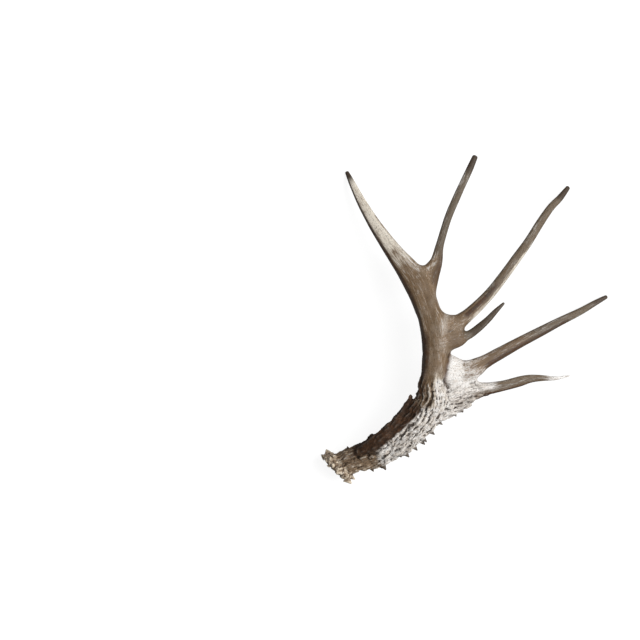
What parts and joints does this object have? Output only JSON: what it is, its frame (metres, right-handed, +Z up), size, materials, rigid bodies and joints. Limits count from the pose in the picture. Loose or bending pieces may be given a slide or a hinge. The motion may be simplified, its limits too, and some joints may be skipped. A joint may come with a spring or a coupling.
{
  "type": "deer antler",
  "caption": "Shed left antler of a white-tailed deer: knobbed burr, bowed pearled main beam and slender tines that fork from it, lying hollow side down.",
  "frame": {"origin": "on the surface the antler lies on, under the middle of its outline", "axes": "+Z up from the surface; +Y from the burr's end towards the tip of the fourth tine; +X from the main beam towards the tip of the second tine"},
  "size_m": [0.4139, 0.472, 0.109],
  "materials": {
    "antler_bone": "matt to satin antler bone, taupe brown with fine lengthwise grooves, near black brown beside the burr, bleached ivory on the pearled side and dark polished tips"
  },
  "bodies": {
    "root": {"lower_beam": "antler_bone", "middle_beam": "antler_bone", "upper_beam": "antler_bone", "beam_tip": "antler_bone", "brow_tine": "antler_bone", "second_tine": "antler_bone", "second_tine_fork": "antler_bone", "third_tine": "antler_bone", "third_tine_spur": "antler_bone", "fourth_tine": "antler_bone"}
  },
  "joints": []
}
